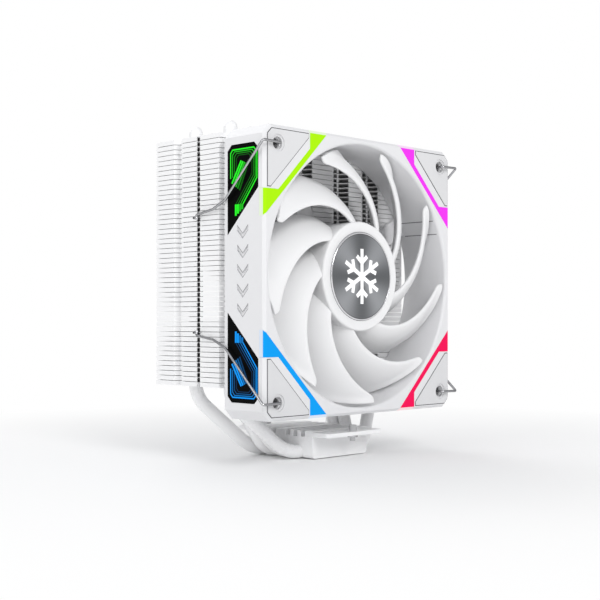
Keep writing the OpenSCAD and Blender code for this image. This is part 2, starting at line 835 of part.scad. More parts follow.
// Right clip's upper half, from the middle of its leg in the fin slot to the hook in the fan
function clip_points() = let (
    leg_x = fin_half - slot_deep + wire_r + 0.15, leg_y = slot_front + slot_w / 2,
    hole = fan_hole_pitch / 2, front_y = fan_front_y - hook_front, z = fan_axis_z
) [
    [leg_x, leg_y, z + leg_z],
    [fin_half + wire_r + 1.3, leg_y, z + leg_z + 0.2],
    [fin_half + wire_r + 1.5, leg_y + 2.8, z + leg_z + 0.8],
    [fin_half + wire_r + 1.5, leg_y - 12, z + leg_z + 3.2],
    [half + wire_r + 0.8, fan_back_y - 3, z + leg_z + 6.5],
    [half + wire_r + 1.9, front_y, z + hole + 0.2],
    [hole, front_y, z + hole],
    [hole, fan_front_y + hook_in, z + hole]
];

module wire_clip(side) {
    above = clip_points();
    below = [for (p = flip(above)) [p.x, p.y, 2 * fan_axis_z - p.z]];
    color("silver") mirror([side < 0 ? 1 : 0, 0, 0])
        bent_bar(concat(below, above), wire_r, clip_bend_r);
}

// ---- Nodes ----

fan_frame();
corner_light(90, "greenyellow");  // corner_light_green
corner_light(0, "magenta");  // corner_light_magenta
corner_light(180, "deepskyblue");  // corner_light_blue
corner_light(270, "crimson");  // corner_light_red
front_corner_pads();
rear_corner_pads();
color("green", 0.4) on_fan() window_solids(1, 0, window_t, 0);  // upper_side_windows
color("blue", 0.4) on_fan() window_solids(-1, 0, window_t, 0);  // lower_side_windows
color("black") on_fan() window_solids(1, window_pocket - board_t - fit_gap, board_t, 0);  // upper_light_boards
color("black") on_fan() window_solids(-1, window_pocket - board_t - fit_gap, board_t, 0);  // lower_light_boards
impeller();
hub_badge();
badge_emblem();
rotor_cup();
magnet_ring();
rotor_shaft();
shaft_clip();
bearing_sleeve();
stator_core();
stator_coils();
motor_board();
top_fin();
fin_stack();
heat_pipe(PIPES[0]);  // heat_pipe_front_outer
heat_pipe(PIPES[1]);  // heat_pipe_front_inner
heat_pipe(PIPES[2]);  // heat_pipe_rear_inner
heat_pipe(PIPES[3]);  // heat_pipe_rear_outer
base_plate();
base_cover();
mounting_ear_front();
mounting_ear_rear();
mounting_screw();  // mounting_screw_front
rotate([0, 0, 180]) mounting_screw();  // mounting_screw_rear
screw_ring();  // screw_ring_front
rotate([0, 0, 180]) screw_ring();  // screw_ring_rear
wire_clip(-1);  // wire_clip_left
wire_clip(1);  // wire_clip_right
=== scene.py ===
# %% [markdown]
# # A tower cooler, from its CAD frame to a studio picture
# The CAD model gives every piece its place and size. This script loads it as the frame, keeps
# the flat machined pieces as they are, and remakes the curved ones (blades, hub, pipes, wires)
# as smooth surfaces. Each surface is a formula on a grid of two numbers. Every piece then gets
# a procedural finish, and the last cells set the light, the floor and the camera.
# Lengths inside the script are millimetres, and they become metres when a mesh is made.

import bpy
import numpy as np
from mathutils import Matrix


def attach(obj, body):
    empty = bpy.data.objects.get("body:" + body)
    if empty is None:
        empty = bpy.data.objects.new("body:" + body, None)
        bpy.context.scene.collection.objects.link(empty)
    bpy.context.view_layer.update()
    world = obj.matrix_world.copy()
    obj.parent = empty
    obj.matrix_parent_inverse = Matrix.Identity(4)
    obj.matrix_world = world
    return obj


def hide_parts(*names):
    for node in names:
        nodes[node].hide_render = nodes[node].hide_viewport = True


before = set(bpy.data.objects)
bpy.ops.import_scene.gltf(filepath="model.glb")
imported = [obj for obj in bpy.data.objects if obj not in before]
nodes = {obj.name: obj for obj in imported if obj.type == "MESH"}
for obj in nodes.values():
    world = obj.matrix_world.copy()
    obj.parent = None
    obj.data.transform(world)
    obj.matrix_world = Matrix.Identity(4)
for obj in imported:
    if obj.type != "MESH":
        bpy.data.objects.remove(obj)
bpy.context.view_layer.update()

# %% [markdown]
# ## Places and sizes
# The fan turns about a line along Y. Its centre is at height AXIS_Z, and FACE_Y is the front
# face of its square frame. Points on the fan are written as (x right, z up) about that centre.

# %% The sizes that the new surfaces share with the CAD model
MM = 0.001
AXIS_Z = 79.5
FACE_Y = -34.5
SIDE = 60.0
HOLE_AT = 52.5
BORE_R = 57.2
HUB_R = 23.9
BADGE_R = 19.4
HUB_FRONT = 2.0
HUB_BACK = 20.8
TIP_R = 55.8
BLADES = 9
PIPE_R = 3.0
WIRE_R = 0.55
HOLE_R = 2.15
print("fan axis at height", AXIS_Z, "mm, blade tips at radius", TIP_R, "mm")

# %% [markdown]
# ## Tools for surfaces
# A surface is an array of points with two indices. Neighbouring points make four-sided faces,
# and a direction can be wrapped so that its last row meets its first.

# %% Make a mesh from a grid of points
def grid_faces(rows, cols, wrap_rows=False, wrap_cols=False, flip=False):
    """Corner numbers of the faces of a grid: point (i, j) has number i times cols plus j."""
    i = np.arange(rows if wrap_rows else rows - 1)[:, None]
    j = np.arange(cols if wrap_cols else cols - 1)[None, :]
    i2, j2 = (i + 1) % rows, (j + 1) % cols
    quads = np.stack([i * cols + j, i2 * cols + j, i2 * cols + j2, i * cols + j2], axis=-1)
    quads = quads.reshape(-1, 4)
    return quads[:, ::-1] if flip else quads


def add_object(name, parts, body, smooth=True):
    """One object from several (points in mm, faces) pairs, riding on a body of the frame."""
    name = name.replace(" ", "_")
    points = np.concatenate([p.reshape(-1, 3) for p, _ in parts]) * MM
    starts = np.cumsum([0] + [p.reshape(-1, 3).shape[0] for p, _ in parts[:-1]])
    faces = np.concatenate([f + s for (_, f), s in zip(parts, starts)])
    mesh = bpy.data.meshes.new(name)
    mesh.from_pydata(points.tolist(), [], faces.tolist())
    mesh.polygons.foreach_set("use_smooth", np.full(len(mesh.polygons), smooth))
    mesh.update()
    obj = bpy.data.objects.new(name, mesh)
    bpy.context.scene.collection.objects.link(obj)
    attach(obj, body)
    print(name, "has", len(faces), "faces")
    return obj


# %% A surface of revolution about the fan's axis
def lathe(profile, segments=160):
    """Turns a closed profile of (radius, depth behind the frame's face) about the fan's axis.

    A point of the profile at angle a lies at x = radius times cosine of a, and at height
    radius times sine of a above the axis.
    """
    profile = np.asarray(profile, float)
    a = np.linspace(0, 2 * np.pi, segments, endpoint=False)[:, None]
    r, d = profile[None, :, 0], profile[None, :, 1]
    points = np.stack([r * np.cos(a), FACE_Y + d + 0 * a, AXIS_Z + r * np.sin(a)], axis=-1)
    return points, grid_faces(segments, len(profile), True, True)


# %% A round bar along a path with rounded corners
def rounded_path(corners, bend, steps=14):
    """Points along straight runs that are joined by circular arcs of radius bend.

    At a corner that turns by an angle t, the arc starts bend times the tangent of half t
    before the corner, and its centre lies on the line that halves the corner.
    """
    corners = np.asarray(corners, float)
    path = [corners[0]]
    for a, p, b in zip(corners[:-2], corners[1:-1], corners[2:]):
        u, v = (p - a) / np.linalg.norm(p - a), (b - p) / np.linalg.norm(b - p)
        turn = np.arccos(np.clip(u @ v, -1, 1))
        start = p - u * bend * np.tan(turn / 2)
        side = v - u * (u @ v)
        side /= np.linalg.norm(side)
        s = np.linspace(0, turn, steps)[:, None]
        path.append(start + bend * (np.sin(s) * u + (1 - np.cos(s)) * side))
    path.append(corners[-1])
    return np.vstack(path)


def bar(path, radius, sides):
    """A tube round the path: at each point, a circle at right angles to the path.

    The circle's first direction is carried along from point to point with as little turning
    as possible. The ends are round: there the circle shrinks as the square root of 1 minus s
    squared.
    """
    s = np.sin(np.linspace(0, np.pi / 2, 9))[1:]
    t0, t1 = path[1] - path[0], path[-1] - path[-2]
    t0, t1 = t0 / np.linalg.norm(t0), t1 / np.linalg.norm(t1)
    head = path[0] - t0 * radius * s[::-1, None] + t0 * radius
    tail = path[-1] + t1 * radius * s[:, None] - t1 * radius
    r = radius * np.sqrt(np.clip(1 - s**2, 1e-6, 1))
    body = np.vstack([path[0] + t0 * radius, path[1:-1], path[-1] - t1 * radius])
    path = np.vstack([head, body, tail])
    radii = np.concatenate([r[::-1], np.full(len(body), radius), r])
    tangent = np.gradient(path, axis=0)
    tangent /= np.linalg.norm(tangent, axis=1)[:, None]
    normal = np.zeros_like(path)
    n = np.cross(tangent[0], [0.31, 0.52, 0.80])
    for k, t in enumerate(tangent):
        n = n - t * (n @ t)
        n /= np.linalg.norm(n)
        normal[k] = n
    across = np.cross(tangent, normal)
    a = np.linspace(0, 2 * np.pi, sides, endpoint=False)[None, :, None]
    ring = np.cos(a) * normal[:, None] + np.sin(a) * across[:, None]
    points = path[:, None] + radii[:, None, None] * ring
    return points, grid_faces(len(path), sides, False, True, flip=True)


# %% A flat ribbon between two outlines
def inset(outline, distance):
    """Moves each side of a closed outline inwards by distance, and finds the new corners.

    Two moved sides meet where both distances hold, which is a pair of linear equations.
    """
    p = np.asarray(outline, float)
    edge = np.roll(p, -1, axis=0) - p
    area = 0.5 * np.sum(p[:, 0] * np.roll(p[:, 1], -1) - np.roll(p[:, 0], -1) * p[:, 1])
    n = np.stack([-edge[:, 1], edge[:, 0]], axis=1) * np.sign(area)
    n /= np.linalg.norm(n, axis=1)[:, None]
    c = np.sum(n * p, axis=1) + distance
    before = np.roll(n, 1, axis=0)
    matrix = np.stack([before, n], axis=1)
    return np.linalg.solve(matrix, np.stack([np.roll(c, 1), c], axis=1)[..., None])[..., 0]


def stroke(path, width, place):
    """A ribbon of constant width along an open path of flat points.

    At a bend the two edges meet on the line between the two normals, which is their sum
    divided by one plus their product.
    """
    p = np.asarray(path, float)
    d = np.diff(p, axis=0)
    n = np.stack([-d[:, 1], d[:, 0]], axis=1) / np.linalg.norm(d, axis=1)[:, None]
    a, b = np.vstack([n[:1], n]), np.vstack([n, n[-1:]])
    mitre = (a + b) / (1 + np.sum(a * b, axis=1))[:, None]
    rails = np.stack([p - mitre * width / 2, p + mitre * width / 2], axis=1)
    return place(rails), grid_faces(len(p), 2)


def ribbon(outline, start, width, place):
    """A closed ribbon from start to start plus width inside the outline; place maps it to 3-D."""
    rings = np.stack([inset(outline, start), inset(outline, start + width)], axis=1)
    return place(rings), grid_faces(len(rings), 2, True, False)


print("surface tools are ready")

# %% [markdown]
# ## Finishes
# Small effects that many materials use are node groups: a fine grain that bumps the surface
# and shifts its tone, and dust that lies on what faces up. Each material holds its own shader.

# %% Shared node groups
def new_group(name, inputs, outputs):
    """An empty node group with the named sockets, and its input and output nodes."""
    group = bpy.data.node_groups.new(name, "ShaderNodeTree")
    for label, kind, value in inputs:
        socket = group.interface.new_socket(name=label, in_out="INPUT", socket_type=kind)
        socket.default_value = value
    for label, kind in outputs:
        group.interface.new_socket(name=label, in_out="OUTPUT", socket_type=kind)
    return group, group.nodes.new("NodeGroupInput"), group.nodes.new("NodeGroupOutput")


grain_group, g_in, g_out = new_group(
    "Fine grain",
    [("Size", "NodeSocketFloat", 900.0), ("Bump", "NodeSocketFloat", 0.05)],
    [("Tone", "NodeSocketFloat"), ("Normal", "NodeSocketVector")],
)
n, l = grain_group.nodes, grain_group.links
coords = n.new("ShaderNodeTexCoord")
fine = n.new("ShaderNodeTexNoise")
fine.inputs["Detail"].default_value = 5.0
fine.inputs["Roughness"].default_value = 0.6
broad = n.new("ShaderNodeTexNoise")
broad.inputs["Scale"].default_value = 22.0
broad.inputs["Detail"].default_value = 3.0
bump = n.new("ShaderNodeBump")
bump.inputs["Distance"].default_value = 0.0002
mix = n.new("ShaderNodeMath")
mix.operation = "MULTIPLY_ADD"
mix.inputs[1].default_value = 0.35
half_broad = n.new("ShaderNodeMath")
half_broad.operation = "MULTIPLY"
half_broad.inputs[1].default_value = 0.65
l.new(coords.outputs["Object"], fine.inputs["Vector"])
l.new(coords.outputs["Object"], broad.inputs["Vector"])
l.new(g_in.outputs["Size"], fine.inputs["Scale"])
l.new(g_in.outputs["Bump"], bump.inputs["Strength"])
l.new(fine.outputs["Fac"], bump.inputs["Height"])
l.new(broad.outputs["Fac"], half_broad.inputs[0])
l.new(fine.outputs["Fac"], mix.inputs[0])
l.new(half_broad.outputs[0], mix.inputs[2])
l.new(mix.outputs[0], g_out.inputs["Tone"])
l.new(bump.outputs["Normal"], g_out.inputs["Normal"])

dust_group, d_in, d_out = new_group(
    "Settled dust",
    [("Amount", "NodeSocketFloat", 0.2)],
    [("Factor", "NodeSocketFloat")],
)
n, l = dust_group.nodes, dust_group.links
geometry = n.new("ShaderNodeNewGeometry")
split = n.new("ShaderNodeSeparateXYZ")
upward = n.new("ShaderNodeMapRange")
upward.inputs["From Min"].default_value = 0.5
specks = n.new("ShaderNodeTexNoise")
specks.inputs["Scale"].default_value = 380.0
specks.inputs["Detail"].default_value = 8.0
object_coords = n.new("ShaderNodeTexCoord")
times = n.new("ShaderNodeMath")
times.operation = "MULTIPLY"
times_amount = n.new("ShaderNodeMath")
times_amount.operation = "MULTIPLY"
l.new(geometry.outputs["Normal"], split.inputs[0])
l.new(split.outputs["Z"], upward.inputs["Value"])
l.new(object_coords.outputs["Object"], specks.inputs["Vector"])
l.new(upward.outputs[0], times.inputs[0])
l.new(specks.outputs["Fac"], times.inputs[1])
l.new(times.outputs[0], times_amount.inputs[0])
l.new(d_in.outputs["Amount"], times_amount.inputs[1])
l.new(times_amount.outputs[0], d_out.inputs["Factor"])
print("node groups:", [g.name for g in bpy.data.node_groups])


# %% One function that makes a finish
def finish(name, light, dark, rough=0.4, metal=0.0, size=900.0, bump=0.05, dust=0.0,
           glow=None, strength=0.0, coat=0.0):
    """A material whose tone drifts between two colours with the grain."""
    mat = bpy.data.materials.new(name)
    mat.use_nodes = True
    n, l = mat.node_tree.nodes, mat.node_tree.links
    shader = n["Principled BSDF"]
    grain = n.new("ShaderNodeGroup")
    grain.node_tree = grain_group
    grain.inputs["Size"].default_value = size
    grain.inputs["Bump"].default_value = bump
    tone = n.new("ShaderNodeMix")
    tone.data_type = "RGBA"
    tone.inputs["A"].default_value = (*dark, 1)
    tone.inputs["B"].default_value = (*light, 1)
    gloss = n.new("ShaderNodeMapRange")
    gloss.inputs["To Min"].default_value = rough * 0.85
    gloss.inputs["To Max"].default_value = min(1.0, rough * 1.15)
    l.new(grain.outputs["Tone"], tone.inputs["Factor"])
    l.new(grain.outputs["Tone"], gloss.inputs["Value"])
    l.new(gloss.outputs[0], shader.inputs["Roughness"])
    l.new(grain.outputs["Normal"], shader.inputs["Normal"])
    colour = tone.outputs["Result"]
    if dust:
        layer = n.new("ShaderNodeGroup")
        layer.node_tree = dust_group
        layer.inputs["Amount"].default_value = dust
        over = n.new("ShaderNodeMix")
        over.data_type = "RGBA"
        over.inputs["B"].default_value = (0.62, 0.60, 0.57, 1)
        l.new(layer.outputs["Factor"], over.inputs["Factor"])
        l.new(colour, over.inputs["A"])
        colour = over.outputs["Result"]
    l.new(colour, shader.inputs["Base Color"])
    shader.inputs["Metallic"].default_value = metal
    shader.inputs["Coat Weight"].default_value = coat
    if glow:
        shader.inputs["Emission Color"].default_value = (*glow, 1)
        shader.inputs["Emission Strength"].default_value = strength
    return mat


def paint(obj, mat):
    """Gives an object one material."""
    obj.data.materials.clear()
    obj.data.materials.append(mat)


# %% The plain finishes
plastic = finish("White moulded plastic", (0.80, 0.80, 0.81), (0.74, 0.74, 0.755), 0.42,
                 size=1400, bump=0.10, dust=0.05)
blade_plastic = finish("White blade plastic", (0.87, 0.87, 0.875), (0.82, 0.82, 0.825), 0.55,
                       size=1200, bump=0.05)
pad_rubber = finish("Corner pad rubber", (0.74, 0.74, 0.75), (0.66, 0.66, 0.67), 0.75,
                    size=2600, bump=0.35, dust=0.05)
fin_paint = finish("White fin paint", (0.91, 0.91, 0.915), (0.87, 0.87, 0.875), 0.38,
                   size=700, bump=0.06, dust=0.06)
pipe_paint = finish("White pipe paint", (0.92, 0.92, 0.925), (0.89, 0.89, 0.895), 0.28,
                    size=600, bump=0.04, coat=0.25)
base_paint = finish("White base paint", (0.93, 0.93, 0.935), (0.88, 0.88, 0.885), 0.40,
                    size=1000, bump=0.10, dust=0.05)
screw_steel = finish("Nickel-plated screw", (0.60, 0.60, 0.61), (0.42, 0.42, 0.43), 0.30, 1.0, 1500, 0.1)
wire_steel_painted_reflection = finish("Polished spring wire", (0.42, 0.42, 0.44), (0.22, 0.22, 0.24), 0.20, 1.0, 1800, 0.05)
motor_steel = finish("Rolled motor steel", (0.50, 0.50, 0.52), (0.36, 0.36, 0.38), 0.35, 1.0, 900, 0.12)
copper = finish("Enamelled copper", (0.62, 0.25, 0.10), (0.42, 0.15, 0.06), 0.30, 0.9, 2400, 0.5)
bronze = finish("Sintered bronze", (0.50, 0.32, 0.12), (0.36, 0.22, 0.08), 0.45, 1.0, 2200, 0.3)
magnet = finish("Bonded magnet", (0.05, 0.05, 0.055), (0.025, 0.025, 0.03), 0.6, 0.0, 2600, 0.3)
board = finish("Circuit board", (0.02, 0.13, 0.05), (0.01, 0.08, 0.03), 0.4, 0.0, 700, 0.15)
black_board = finish("Black light board", (0.02, 0.02, 0.022), (0.01, 0.01, 0.012), 0.5, 0.0, 900, 0.1)
# Painted shadow: a near-black colour for gaps and edges that fall in shade.
painted_shadow_line = finish("Painted shadow line", (0.12, 0.12, 0.125), (0.07, 0.07, 0.075), 0.9)
# The emblem's paint glows a little: painted light that keeps it bright.
emblem_white_glow = finish("White emblem with painted glow", (0.92, 0.92, 0.92), (0.88, 0.88, 0.88), 0.5,
                      size=1600, bump=0.05, glow=(1, 1, 1), strength=0.25)
print("finishes:", len(bpy.data.materials))

# %% [markdown]
# ### Glowing plastic
# The corner strips are lit from inside, so they shine most where they are seen face on. Layer
# Weight gives how much a surface faces away, and it lowers the glow towards the rim.

# %% The lit strips
def lit(name, colour, rim, strength, pale_ends=False):
    """Plastic that glows in one colour, with a little drift, and a deeper rim.

    Where a strip turns the corner of the frame it gets no light from inside, yet there it
    glows pale: painted light for pale plastic. That is on the left side, and within 1.3 mm of
    the top and the bottom. A Compare node gives 1 for what lies within reach of a centre.
    """
    mat = finish(name, tuple(0.03 * c for c in colour), tuple(0.02 * c for c in colour), 0.5,
                 size=500, bump=0.03)
    n, l = mat.node_tree.nodes, mat.node_tree.links
    shader = n["Principled BSDF"]
    shader.inputs["Specular IOR Level"].default_value = 0.1
    facing = n.new("ShaderNodeLayerWeight")
    facing.inputs["Blend"].default_value = 0.12
    blend = n.new("ShaderNodeMix")
    blend.data_type = "RGBA"
    blend.inputs["A"].default_value = (*colour, 1)
    blend.inputs["B"].default_value = (*rim, 1)
    l.new(facing.outputs["Facing"], blend.inputs["Factor"])
    glow = blend.outputs["Result"]
    if pale_ends:
        at = n.new("ShaderNodeTexCoord")
        axes = n.new("ShaderNodeSeparateXYZ")
        l.new(at.outputs["Object"], axes.inputs[0])
        tests = []
        for axis, centre, reach in [("X", 0.0003, 0.0601), ("Z", AXIS_Z * MM, 0.0587)]:
            lit_part = n.new("ShaderNodeMath")
            lit_part.operation = "COMPARE"
            lit_part.inputs[1].default_value = centre
            lit_part.inputs[2].default_value = reach
            l.new(axes.outputs[axis], lit_part.inputs[0])
            tests.append(lit_part)
        both = n.new("ShaderNodeMath")
        both.operation = "MINIMUM"
        l.new(tests[0].outputs[0], both.inputs[0])
        l.new(tests[1].outputs[0], both.inputs[1])
        # Painted light: outside the lit part, the strip glows pale instead of in its colour.
        end = n.new("ShaderNodeMix")
        end.data_type = "RGBA"
        end.inputs["A"].default_value = (*(0.72 + 0.2 * c for c in colour), 1)
        l.new(both.outputs[0], end.inputs["Factor"])
        l.new(glow, end.inputs["B"])
        glow = end.outputs["Result"]
    l.new(glow, shader.inputs["Emission Color"])
    shader.inputs["Emission Strength"].default_value = strength
    return mat


GREEN, MAGENTA, BLUE, RED = (0.47, 1.0, 0.0), (1.0, 0.045, 1.0), (0.0, 0.38, 1.0), (1.0, 0.0, 0.10)
LIT = {}
for label, colour in [("green", GREEN), ("magenta", MAGENTA), ("blue", BLUE), ("red", RED)]:
    LIT[label] = lit("Lit " + label + " strip", colour, tuple(0.55 * c for c in colour), 0.95, True)
    paint(nodes["corner_light_" + label], LIT[label])
print("lit strips:", list(LIT))

# %% [markdown]
# ### The badge
# The metal badge is turned on a lathe, which leaves fine rings. A noise that is read only
# along the radius repeats round the centre, so it draws rings. It changes the roughness and
# the tone, and it bumps the surface. A slow wave round the centre paints light and dark sectors
# into the tone: a painted highlight and painted shade, like those such rings show under a lamp.

# %% Brushed rings
badge_metal = bpy.data.materials.new("Badge with turned rings")
badge_metal.use_nodes = True
n, l = badge_metal.node_tree.nodes, badge_metal.node_tree.links
shader = n["Principled BSDF"]
shader.inputs["Metallic"].default_value = 1.0
where = n.new("ShaderNodeTexCoord")
parts = n.new("ShaderNodeSeparateXYZ")
shift = n.new("ShaderNodeMath")
shift.operation = "SUBTRACT"
shift.inputs[1].default_value = AXIS_Z * MM
join = n.new("ShaderNodeCombineXYZ")
radius = n.new("ShaderNodeVectorMath")
radius.operation = "LENGTH"
along = n.new("ShaderNodeCombineXYZ")
rings = n.new("ShaderNodeTexNoise")
rings.inputs["Scale"].default_value = 5200.0
rings.inputs["Detail"].default_value = 3.0
sheen_angle = n.new("ShaderNodeTexGradient")
sheen_angle.gradient_type = "RADIAL"
# The wave paints light and dark sectors into the badge's tone: painted highlight and shade.
painted_sheen_wave = n.new("ShaderNodeTexWave")
painted_sheen_wave.wave_profile = "SIN"
painted_sheen_wave.inputs["Scale"].default_value = 1.25
painted_sheen_wave.inputs["Distortion"].default_value = 0.0
turn = n.new("ShaderNodeCombineXYZ")
tone = n.new("ShaderNodeMix")
tone.data_type = "RGBA"
tone.inputs["A"].default_value = (0.10, 0.105, 0.11, 1)
tone.inputs["B"].default_value = (0.52, 0.53, 0.55, 1)
rings_and_painted_sheen = n.new("ShaderNodeMath")
rings_and_painted_sheen.operation = "MULTIPLY_ADD"
rings_and_painted_sheen.inputs[1].default_value = 0.62
quarter = n.new("ShaderNodeMath")
quarter.operation = "MULTIPLY"
quarter.inputs[1].default_value = 0.38
gloss = n.new("ShaderNodeMapRange")
gloss.inputs["To Min"].default_value = 0.22
gloss.inputs["To Max"].default_value = 0.42
tiny = n.new("ShaderNodeBump")
tiny.inputs["Strength"].default_value = 0.15
tiny.inputs["Distance"].default_value = 0.0001
l.new(where.outputs["Object"], parts.inputs[0])
l.new(parts.outputs["Z"], shift.inputs[0])
l.new(parts.outputs["X"], join.inputs["X"])
l.new(shift.outputs[0], join.inputs["Y"])
l.new(join.outputs[0], radius.inputs[0])
l.new(radius.outputs["Value"], along.inputs["X"])
l.new(along.outputs[0], rings.inputs["Vector"])
l.new(join.outputs[0], sheen_angle.inputs["Vector"])
l.new(sheen_angle.outputs["Fac"], turn.inputs["X"])
l.new(turn.outputs[0], painted_sheen_wave.inputs["Vector"])
l.new(painted_sheen_wave.outputs["Fac"], rings_and_painted_sheen.inputs[0])
l.new(rings.outputs["Fac"], quarter.inputs[0])
l.new(quarter.outputs[0], rings_and_painted_sheen.inputs[2])
l.new(rings_and_painted_sheen.outputs[0], tone.inputs["Factor"])
l.new(tone.outputs["Result"], shader.inputs["Base Color"])
l.new(rings.outputs["Fac"], gloss.inputs["Value"])
l.new(gloss.outputs[0], shader.inputs["Roughness"])
l.new(rings.outputs["Fac"], tiny.inputs["Height"])
l.new(tiny.outputs["Normal"], shader.inputs["Normal"])
paint(nodes["hub_badge"], badge_metal)
paint(nodes["badge_emblem"], emblem_white_glow)
print("badge material has", len(n), "nodes")

# %% Paint the CAD pieces that stay as they are
for name, mat in {
    "fan_frame": plastic, "front_corner_pads": pad_rubber, "rear_corner_pads": pad_rubber,
    "upper_light_boards": black_board, "lower_light_boards": black_board,
    "rotor_cup": motor_steel, "magnet_ring": magnet, "rotor_shaft": wire_steel_painted_reflection,
    "shaft_clip": plastic, "bearing_sleeve": bronze, "stator_core": motor_steel,
    "stator_coils": copper, "motor_board": board, "top_fin": fin_paint, "fin_stack": fin_paint,
    "base_plate": base_paint, "base_cover": base_paint, "mounting_ear_front": base_paint,
    "mounting_ear_rear": base_paint, "mounting_screw_front": screw_steel,
    "mounting_screw_rear": screw_steel, "screw_ring_front": wire_steel_painted_reflection,
    "screw_ring_rear": wire_steel_painted_reflection,
}.items():
    paint(nodes[name], mat)
smoked = finish("Smoked window", (0.002, 0.002, 0.002), (0.001, 0.001, 0.001), 0.35,
                size=600, bump=0.01)
smoked.node_tree.nodes["Principled BSDF"].inputs["Specular IOR Level"].default_value = 0.03
paint(nodes["upper_side_windows"], smoked)
paint(nodes["lower_side_windows"], smoked)
print("CAD pieces painted")

# %% [markdown]
# ## The impeller
# A blade is swept: its leading edge turns further round as the radius grows. At each radius
# the section runs from the leading edge near the front to the trailing edge behind it. Its
# thickness follows a power of a sine, which gives round edges.

# %% The sizes of a blade, at the hub and at the tip
ROOT_R = 22.8
LEAD_HUB, SWEEP, TIP_ANGLE = -17.5, 1.9, 37.6
WRAP_HUB, WRAP_TIP, TRAIL_SHARE = 33.0, 31.3, 0.6
FRONT_HUB, FRONT_TIP, BLADE_BACK = 3.6, 1.2, 16.0
POWER_HUB, POWER_TIP = 1.6, 1.38
print(BLADES, "blades sweep back to", TIP_ANGLE, "degrees")


# %% Nine blades and the hub
def blade_surface(turn_deg, rings=44, around=56):
    """A closed blade: rows of sections from the hub to the tip.

    The leading edge sweeps by SWEEP degrees for each millimetre of radius, and a soft minimum
    stops it at TIP_ANGLE, which cuts off the tip's front corner. From there the section turns
    by about 32 degrees while its depth grows as a power of the turn, so it lies flat at the
    front and steepens behind. The last rows get thin, which closes the tip.
    """
    u = np.concatenate([np.linspace(0, 1, rings - 4) ** 0.8 * 0.985, [0.992, 0.997, 1.0, 1.0]])[:, None]
    shrink = np.concatenate([np.ones(rings - 4), [0.97, 0.9, 0.72, 0.001]])[:, None]
    r = ROOT_R + (TIP_R - ROOT_R) * u
    v = (r - HUB_R) / (TIP_R - HUB_R)
    t = np.linspace(0, 2 * np.pi, around, endpoint=False)[None, :]
    s = (1 - np.cos(t)) / 2
    swept = SWEEP * (r - HUB_R) + LEAD_HUB
    lead = TIP_ANGLE - np.log1p(np.exp(TIP_ANGLE - swept))
    wrap = WRAP_HUB + (WRAP_TIP - WRAP_HUB) * v - TRAIL_SHARE * (swept - lead)
    power = POWER_HUB + (POWER_TIP - POWER_HUB) * v
    front = FRONT_HUB + (FRONT_TIP - FRONT_HUB) * v
    depth = front + (BLADE_BACK - front) * s**power
    thick = 1.0 + 0.25 * np.exp(-((s - 0.05) / 0.12) ** 2)
    half = thick * np.sign(np.sin(t)) * np.abs(np.sin(t)) ** 0.55 * shrink
    run = -r * np.radians(wrap)
    rise = (BLADE_BACK - front) * power * np.maximum(s, 0.001) ** (power - 1)
    size = np.hypot(run, rise)
    angle = np.radians(lead - wrap * s + turn_deg) + half * (rise / size) / r
    depth = depth - half * (run / size)
    points = np.stack([r * np.cos(angle), FACE_Y + depth, AXIS_Z + r * np.sin(angle)], axis=-1)
    return points, grid_faces(rings, around, False, True)


corner = np.linspace(0, np.pi / 2, 8)
hub_profile = np.vstack([
    [[0.6, HUB_FRONT + 0.5], [BADGE_R + 0.1, HUB_FRONT + 0.5], [BADGE_R + 0.1, HUB_FRONT + 0.12],
     [BADGE_R + 0.22, HUB_FRONT]],
    np.stack([HUB_R - 0.9 + 0.9 * np.sin(corner), HUB_FRONT + 0.9 - 0.9 * np.cos(corner)], axis=1),
    [[HUB_R, HUB_BACK - 0.2], [HUB_R - 0.2, HUB_BACK], [HUB_R - 1.2, HUB_BACK],
     [HUB_R - 1.4, HUB_BACK - 0.2], [HUB_R - 1.4, HUB_FRONT + 2.2], [1.53, HUB_FRONT + 2.2],
     [1.53, HUB_FRONT + 0.9], [0.6, HUB_FRONT + 0.9]],
])
impeller = add_object(
    "Impeller", [lathe(hub_profile)] + [blade_surface(k * 360 / BLADES) for k in range(BLADES)],
    "rotor",
)
paint(impeller, blade_plastic)
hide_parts("impeller")

# %% [markdown]
# ## Heat pipes and wires
# A pipe is one bar that is bent four times. Its stem goes up through the fins, and its middle
# is pressed flat against the processor, so points that would lie lower than the base's face
# are moved up onto it.

# %% Four bent pipes
FIN_TOP = AXIS_Z + 59.3
STEM_TOP = FIN_TOP + 7.6
MID_Y = 13.65
FOOT_Z = 2.7
# Each pipe: y of its middle, x and y of its stems, x of its feet, height of its knees, bend
PIPES = {
    "front_outer": (-10.95, 45.6, MID_Y - 11.6, 25.0, 25.0, 14.0),
    "front_inner": (-3.65, 30.0, MID_Y - 6.2, 23.5, 20.5, 8.0),
    "rear_inner": (3.65, 30.0, MID_Y + 4.2, 23.5, 26.5, 7.4),
    "rear_outer": (10.95, 45.6, MID_Y + 11.6, 25.0, 26.0, 14.0),
}
for label, (y, stem_x, stem_y, foot_x, knee_z, bend) in PIPES.items():
    corners = [(-stem_x, stem_y, STEM_TOP), (-stem_x, stem_y, knee_z), (-foot_x, y, FOOT_Z),
               (foot_x, y, FOOT_Z), (stem_x, stem_y, knee_z), (stem_x, stem_y, STEM_TOP)]
    points, faces = bar(rounded_path(corners, bend), PIPE_R, 40)
    points[..., 2] = np.maximum(points[..., 2], 0.0)
    pipe = add_object("Heat pipe " + label, [(points, faces)], "heatsink")
    paint(pipe, pipe_paint)
    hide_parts("heat_pipe_" + label)
